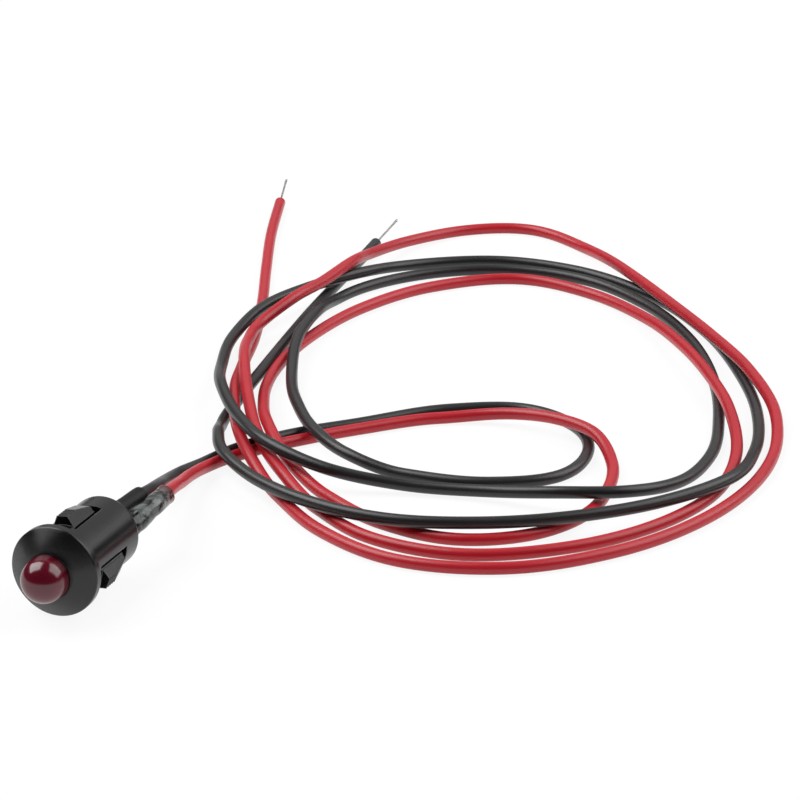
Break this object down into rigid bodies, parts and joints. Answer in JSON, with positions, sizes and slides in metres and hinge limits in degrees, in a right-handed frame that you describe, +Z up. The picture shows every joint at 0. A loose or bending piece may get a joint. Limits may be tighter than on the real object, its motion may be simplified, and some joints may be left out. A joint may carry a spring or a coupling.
{
  "type": "panel indicator light",
  "caption": "Red LED indicator in a black snap-in holder with a domed bezel, sprung catch tongues, a resistor sleeve and a red and a black lead for panel wiring.",
  "frame": {"origin": "on the barrel's axis, in the plane of the flange's back face, where the panel's front face goes", "axes": "+Y runs back along the barrel, away from the lamp's dome; +Z is up as the lamp lies on a surface; +X is to the right, looking from the front"},
  "size_m": [0.0929, 0.143, 0.0098],
  "materials": {
    "housing_plastic": "moulded black nylon, fine satin",
    "lens_epoxy": "clear red epoxy, gloss",
    "leg_metal": "tinned steel legs",
    "die_chip": "light-emitting chip",
    "bond_gold": "gold bond wire",
    "solder": "bright solder",
    "resistor_coat": "conformal coating, satin",
    "resistor_leg": "tinned wire",
    "strands": "tinned copper strands",
    "red_sleeving": "smoky shrink sleeve, gloss",
    "black_sleeving": "black shrink sleeve, satin",
    "red_pvc": "red wire insulation, satin",
    "black_pvc": "black wire insulation, satin"
  },
  "bodies": {
    "root": {"housing": "housing_plastic", "led_lens": "lens_epoxy", "led_cathode_frame": "leg_metal", "led_anode_frame": "leg_metal", "led_die": "die_chip", "led_bond_wire": "bond_gold", "anode_solder": "solder", "resistor_front_leg": "resistor_leg", "resistor_body": "resistor_coat", "resistor_rear_leg": "resistor_leg", "resistor_solder": "solder", "cathode_solder": "solder", "red_strands_inner": "strands", "black_strands_inner": "strands", "red_sleeve": "red_sleeving", "black_sleeve": "black_sleeving", "red_lead": "red_pvc", "black_lead": "black_pvc", "red_strands_end": "strands", "black_strands_end": "strands"}
  },
  "joints": []
}
